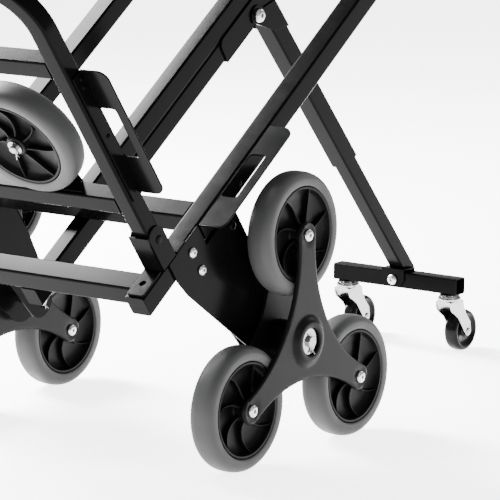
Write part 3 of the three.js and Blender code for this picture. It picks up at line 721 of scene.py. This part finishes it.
def arm_rows(bore):
    """Rows of points across one arm, from the bore out to the tip."""
    half_spread = [0.22, 0.42, 0.6, 0.75, 0.85, 0.92, 0.97, 1]
    spread = [-t for t in reversed(half_spread)] + [0] + half_spread
    rows = []
    for k in range(19):
        radius = bore + (STAR_WAIST - bore) * k / 18
        angles = [math.radians(60) * t for t in spread]
        rows.append([(radius * math.cos(a), radius * math.sin(a)) for a in angles])
    cx, cy = FLANK_CENTRE / 2, FLANK_CENTRE * math.sqrt(3) / 2
    for k in range(1, 19):
        share = k / 18
        angle = math.radians(240) + TANGENT * share
        edge = (cx + FLANK * math.cos(angle), cy + FLANK * math.sin(angle))
        mid = STAR_WAIST + (STAR_RADIUS - STAR_WAIST) * share
        row = []
        for t in spread:
            row.append((mid + (edge[0] - mid) * t * t, edge[1] * t))
        rows.append(row)
    edge_angle = math.atan2(edge[1], edge[0] - STAR_RADIUS)
    for share in (0.7, 0.4, 0.15, 0):
        row = []
        for t in spread:
            angle = edge_angle * t
            full = STAR_TIP * math.cos(angle)
            base = STAR_RADIUS + (edge[0] - STAR_RADIUS) * t * t
            out = base + (STAR_RADIUS + full - base) * (1 - share)
            row.append((out, STAR_TIP * math.sin(angle)))
        rows.append(row)
    return rows


def star_plate(bore, boss):
    """A star with a moulded face towards +x and a flat back on x = 0."""
    rows = arm_rows(bore)
    width = len(rows[0])
    work = bmesh.new()
    for arm in range(3):
        angle = math.radians(90 + 120 * arm)
        c, s = math.cos(angle), math.sin(angle)
        grid = []
        for row in rows:
            line = []
            for along, across in row:
                height = STAR_PLATE + star_height(along, across, bore, boss)
                spot = (height, along * c - across * s, along * s + across * c)
                line.append(work.verts.new(spot))
            grid.append(line)
        for low, high in zip(grid, grid[1:]):
            for i in range(width - 1):
                work.faces.new((low[i], low[i + 1], high[i + 1], high[i]))
    bmesh.ops.remove_doubles(work, verts=work.verts, dist=0.02)
    work.verts.index_update()
    count = len(work.verts)
    points = [tuple(v.co) for v in work.verts]
    faces = [[v.index for v in f.verts] for f in work.faces]
    rims = [[v.index for v in e.verts] for e in work.edges if len(e.link_faces) == 1]
    work.free()
    backs = [[i + count for i in reversed(f)] for f in faces]
    walls = [[a, b, b + count, a + count] for a, b in rims]
    return points + [(0, y, z) for _, y, z in points], faces + backs + walls


def clusters():
    outside = HUB_HALF_WIDTH + GAP
    bore = SPINDLE_RADIUS + RUNNING_CLEARANCE
    outer = Build().add(star_plate(STAR_BORE, BOSS_HEIGHT), shift(outside, 0, 0))
    inner = Build().add(star_plate(bore, 0), shift(-outside, 0, 0) @ MIRROR)
    hub = [(bore, -outside - 1), (24, -outside - 1), (24, outside - GAP), (bore, outside - GAP)]
    inner.add(lathe(hub, 48))
    place = shift(CLUSTER_X, CLUSTER_Y, CLUSTER_HEIGHT)
    for name, star in (("star_outer", outer), ("star_inner", inner)):
        node = name + "_{}"
        pair(name, star, place, STAR_PLASTIC, "cluster_{}", node, MOULDED_CREASE)
    face = outside + STAR_PLATE - BOLT_PAD_DEPTH
    bolt = Build().add(lathe(shank(BOLT_RADIUS, face), 32))
    bolt.add(dome_head(8.2, 4.2), shift(face + 0.5, 0, 0))
    bolt.add(dome_head(8.2, 4.2), shift(-face - 0.5, 0, 0) @ turn(180, "Z"))
    for side, sign in SIDES.items():
        for arm, place_name in enumerate(WHEEL_PLACES):
            angle = math.radians(90 + 120 * arm)
            y = CLUSTER_Y + STAR_RADIUS * math.cos(angle)
            z = CLUSTER_HEIGHT + STAR_RADIUS * math.sin(angle)
            at = shift(sign * CLUSTER_X, y, z)
            which = f"{side}_{place_name}"
            wheel(f"rim_{which}", f"tyre_{which}", at, f"wheel_{which}")
            name = f"wheel_bolt_{which}"
            mesh_piece(name, bolt, at, ZINC, f"cluster_{side}", [name])


def spindles():
    radius = SPINDLE_RADIUS
    start = UPRIGHT_X - TUBE / 2 - RUNNING_CLEARANCE - SHEET - 6
    collar = UPRIGHT_X + TUBE / 2 + RUNNING_CLEARANCE + SHEET + GAP
    outside = HUB_HALF_WIDTH + GAP
    collar_end = CLUSTER_X - outside - STAR_PLATE - 3
    spacer = CLUSTER_X + outside
    washer = spacer + BOSS_HEIGHT
    end = washer + 7.2
    shaft = [(0, start), (radius - 1, start), (radius, start + 1)]
    shaft += [(radius, end - 1.2), (radius - 1.2, end), (0, end)]
    shape = Build().add(lathe(shaft, 48))
    for ring, x0, x1 in ((COLLAR_RADIUS, collar, collar_end), (SPACER_RADIUS, spacer, washer)):
        shape.add(lathe([(radius, x0), (ring, x0), (ring, x1), (radius, x1)], 48))
    rim = [(radius, washer), (WASHER_RADIUS - 0.4, washer), (WASHER_RADIUS, washer + 0.5)]
    rim += [(WASHER_RADIUS, washer + 1.8), (radius, washer + 2.2)]
    shape.add(lathe(rim, 56))
    shape.add(split_pin(2.4, 11), shift(washer + 4.4, 0, 0) @ turn(-24, "X"))
    shape.add(split_pin(2.4, 10), shift(start + 3, 0, 0))
    place = ON_FRAME @ shift(0, *SPINDLE_ON_FRAME)
    pair("spindle", shape, place, CHROME, "frame", "spindle_{}")


# ---------- Rear support leg ----------


def leg():
    half = TUBE / 2
    head = arc((0, 0), LEG_HEAD_RADIUS, 90, 270, 18)
    head += [(46, LEG_OFFSET - half + 2), (64, LEG_OFFSET + half), (12, LEG_OFFSET + half)]
    hole = circle(0, 0, BOLT_BORE)
    inside = half + 0.1
    shape = Build().add(sleeve(*SLEEVE, half, BORE / 2), shift(0, 0, LEG_OFFSET) @ X_TO_Y)
    for x in (inside, -inside - SHEET - 0.5):
        shape.add(plate([head, hole], SHEET + 0.5, 0.5), shift(x, 0, 0) @ ACROSS)
    mesh_piece("leg_sleeve", shape, ON_LEG, PAINT, "leg", ["leg_sleeve"])
    bar = CASTER_BAR / 2
    top = bar + SADDLE_LIFT
    inner = Build().add(leg_tube_shape(top + 0.5), shift(0, 0, LEG_OFFSET) @ X_TO_Y)
    level = ON_LEG.inverted() @ ON_CASTER_BAR
    reach = bar + GAP + SHEET
    long = SADDLE_HALF_LENGTH
    roof = rectangle(-long, long, -reach, reach)
    inner.add(plate([roof], SHEET, 0.6), level @ shift(0, 0, top))
    cheek = [(-long, top + 1), (long, top + 1), (long, 0), (12, -bar + 2), (-12, -bar + 2), (-long, 0)]
    for y in (-reach, bar + GAP):
        inner.add(plate([cheek, hole], SHEET, 0.4), level @ shift(0, y, 0) @ UP_Y)
    mesh_piece("leg_tube", inner, ON_LEG, PAINT, "leg_extension", ["leg_tube"])


def leg_tube_shape(above_bar):
    """The inner tube about its own axis, cut off level at a height above the caster bar."""
    half = LEG_TUBE / 2
    lean = 1 / math.tan(LEG_DROP)
    level_end = CASTER_BAR_ALONG - above_bar / math.sin(LEG_DROP)
    level_end += (LEG_OFFSET - CASTER_BAR_OFFSET) * lean
    outline = rounded(half, half, 3)
    rings = [[(LEG_TUBE_START, a, b) for a, b in outline]]
    rings.append([(level_end + b * lean, a, b) for a, b in outline])
    return chain(rings)


def caster_beam():
    half = CASTER_BAR / 2
    reach = CASTER_BAR_LENGTH / 2
    bar = Build().add(sleeve(-reach, reach, half, half - CASTER_BAR_WALL, 2.5))
    place = ON_CASTER_BAR
    mesh_piece("caster_bar", bar, place, PAINT, "caster_beam", ["caster_bar"])
    face = half + 2 * GAP + SHEET
    bolt = Build().add(lathe(shank(SHANK_RADIUS, face), 24))
    bolt.add(dome_head(8, 4.6), shift(face + 0.5, 0, 0))
    bolt.add(dome_head(8, 4.6), shift(-face - 0.5, 0, 0) @ turn(180, "Z"))
    place = ON_CASTER_BAR @ X_TO_Y
    mesh_piece("caster_bar_bolt", bolt, place, ZINC, "leg_extension", ["caster_bar_bolt"])


def fork_shape():
    """A bent-sheet swivel fork: a round raceway, a crown and two tapering cheeks."""
    inside = CASTER_HALF_WIDTH + 1
    race = [(0, 0.4), (13, 0.4), (15, 1.5), (15.5, 3), (14.5, 4.4)]
    race += [(17, 5.6), (18, 8), (17.2, 11), (14, 12.6), (0, 12.6)]
    shape = Build().add(lathe(race, 56), turn(90, "Y"))
    rings = []
    for k in range(13):
        share = k / 12
        y = -17 + 34 * share
        reach = inside + 1.6
        lift = -10.2 - 3 * (1 - math.sin(math.pi * (0.25 + 0.5 * share)))
        flat = reach * 0.8
        ring = [(-reach, y, lift - 2.8), (-flat, y, lift), (flat, y, lift), (reach, y, lift - 2.8)]
        ring += [(flat, y, lift - 4.4), (-flat, y, lift - 4.4)]
        rings.append(ring)
    shape.add(chain(rings))
    cheek = [(-17, -11.5), (-17.5, -17), (-14, -25)]
    cheek += [(-6, -31), (4, -38), (12, -48), (CASTER_TRAIL - 9, AXLE_DROP - 2)]
    cheek += arc((CASTER_TRAIL, AXLE_DROP), 8, 190, 360, 14)
    cheek += [(CASTER_TRAIL + 6, -48), (26, -34), (20, -22), (17.5, -11.5)]
    outside = inside + FORK_SHEET
    for x in (inside, -outside):
        shape.add(plate([cheek], FORK_SHEET, 0.6), shift(x, 0, 0) @ ACROSS)
    at = shift(0, CASTER_TRAIL, AXLE_DROP)
    shape.add(lathe(shank(CASTER_AXLE_RADIUS, outside), 24), at)
    shape.add(dome_head(4.6, 1.9, 28), at @ shift(outside, 0, 0))
    shape.add(dome_head(4.6, 1.9, 28), at @ shift(-outside, 0, 0) @ turn(180, "Z"))
    return shape


def caster_wheel_shape():
    half = CASTER_HALF_WIDTH
    bore = CASTER_AXLE_RADIUS + RUNNING_CLEARANCE
    side = [(bore, half), (8, half), (9.5, half - 0.8), (10.5, half - 3)]
    side += [(22, half - 3), (23.5, half - 1), (25, half - 0.2)]
    shoulder = 26
    for k in range(8):
        angle = math.radians(90 * k / 8)
        radius = shoulder + (CASTER_RADIUS - shoulder) * math.sin(angle)
        side.append((radius, half * math.cos(angle) ** 0.6))
    side.append((CASTER_RADIUS, 0))
    other = [(radius, -x) for radius, x in reversed(side[:-1])]
    return Build().add(lathe(side + other, 64))


def casters():
    fork = fork_shape()
    roller = caster_wheel_shape()
    place = ON_CASTER_BAR @ shift(CASTER_X, 0, -CASTER_BAR / 2)
    pair("caster_fork", fork, place, CHROME, "caster_{}", "caster_fork_{}")
    at = place @ shift(0, CASTER_TRAIL, AXLE_DROP)
    body, node = "caster_roller_{}", "caster_wheel_{}"
    pair("caster_wheel", roller, at, CASTER_PLASTIC, body, node, SOFT_CREASE)


# ---------- Handle ----------


def handle():
    half = HANDLE_TUBE / 2
    loop = Build().add(bent_tube(UPRIGHT_X, HANDLE_BOTTOM, HANDLE_TOP - half, HANDLE_BEND, half, 2.5))
    place = ON_FRAME @ shift(0, 0, -TUBE / 2)
    mesh_piece("handle_loop", loop, place, PAINT, "handle", ["handle_loop"])
    size = GRIP_SIZE / 2
    bore = half + GAP
    rings = []
    outline = rounded(1, 1, 0.62, 6)
    steps = 44
    for k in range(steps + 1):
        x = -GRIP_LENGTH / 2 + GRIP_LENGTH * k / steps
        end = min(k, steps - k)
        groove = 0.7 if k % 4 == 2 and end > 1 else 0
        reach = size - (1.6 if end == 0 else groove)
        rings.append([(x, a * reach, b * reach) for a, b in outline])
    hollow = rounded(1, 1, 0.2, 6)
    for x in (GRIP_LENGTH / 2, -GRIP_LENGTH / 2):
        rings.append([(x, a * bore, b * bore) for a, b in hollow])
    grip = Build().add(chain(rings, loop=True))
    at = place @ shift(0, HANDLE_TOP - half, 0)
    mesh_piece("handle_grip", grip, at, FOAM, "handle", ["handle_grip"], SOFT_CREASE)


# ---------- Studio ----------


def studio():
    white = bpy.data.materials.new("studio_floor")
    white.use_nodes = True
    shader = white.node_tree.nodes["Principled BSDF"]
    shader.inputs["Base Color"].default_value = (0.86, 0.86, 0.855, 1)
    shader.inputs["Roughness"].default_value = 0.9
    shader.inputs["Specular IOR Level"].default_value = 0.1
    shader.inputs["Emission Color"].default_value = (1, 1, 1, 1)
    shader.inputs["Emission Strength"].default_value = 4.2
    mesh = bpy.data.meshes.new("floor")
    reach = 30
    corners = [(x, y, 0) for x, y in rectangle(-reach, reach, -reach, reach)]
    mesh.from_pydata(corners, [], [(0, 1, 2, 3)])
    mesh.materials.append(white)
    floor = bpy.data.objects.new("floor", mesh)
    bpy.context.scene.collection.objects.link(floor)
    world = bpy.data.worlds.new("studio")
    world.use_nodes = True
    world.node_tree.nodes["Background"].inputs["Color"].default_value = (0.95, 0.97, 1, 1)
    world.node_tree.nodes["Background"].inputs["Strength"].default_value = 0.8
    bpy.context.scene.world = world
    lamp("overhead_softbox", (-2.4, 0.3, 1.85), (-0.4, 0.2, 0.2), (1.0, 2.1), 850)
    lamp("front_fill", (-1.6, -3.4, 1.8), (0, 0, 0.3), (1.6, 1.6), 32)
    lamp("right_strip", (3.0, -0.6, 1.5), (0, 0, 0.3), (0.5, 1.8), 12)
    lamp("back_softbox", (0.8, 3.2, 2.2), (0, 0.2, 0.2), (1.8, 1.2), 30)


def lamp(name, at, target, size, power):
    light = bpy.data.lights.new(name, "AREA")
    light.shape = "RECTANGLE"
    light.size, light.size_y = size
    light.energy = power
    made = bpy.data.objects.new(name, light)
    made.location = at
    made.rotation_euler = (Vector(target) - Vector(at)).to_track_quat("-Z", "Y").to_euler()
    bpy.context.scene.collection.objects.link(made)


def camera():
    lens = bpy.data.cameras.new("camera")
    lens.lens = 221.2
    lens.sensor_width = 36
    lens.clip_end = 200
    made = bpy.data.objects.new("camera", lens)
    made.location = (2.5514, -3.3072, 1.0131)
    made.rotation_euler = (math.radians(79.365), 0, math.radians(36.43))
    bpy.context.scene.collection.objects.link(made)
    bpy.context.scene.camera = made


camera()
studio()
uprights()
crossbars()
centre_tubes()
axle_brackets()
hinge_brackets()
side_wings()
leg_bracket()
platform()
wheel_brackets()
spare_wheels()
clusters()
spindles()
leg()
caster_beam()
casters()
handle()

bpy.context.view_layer.update()
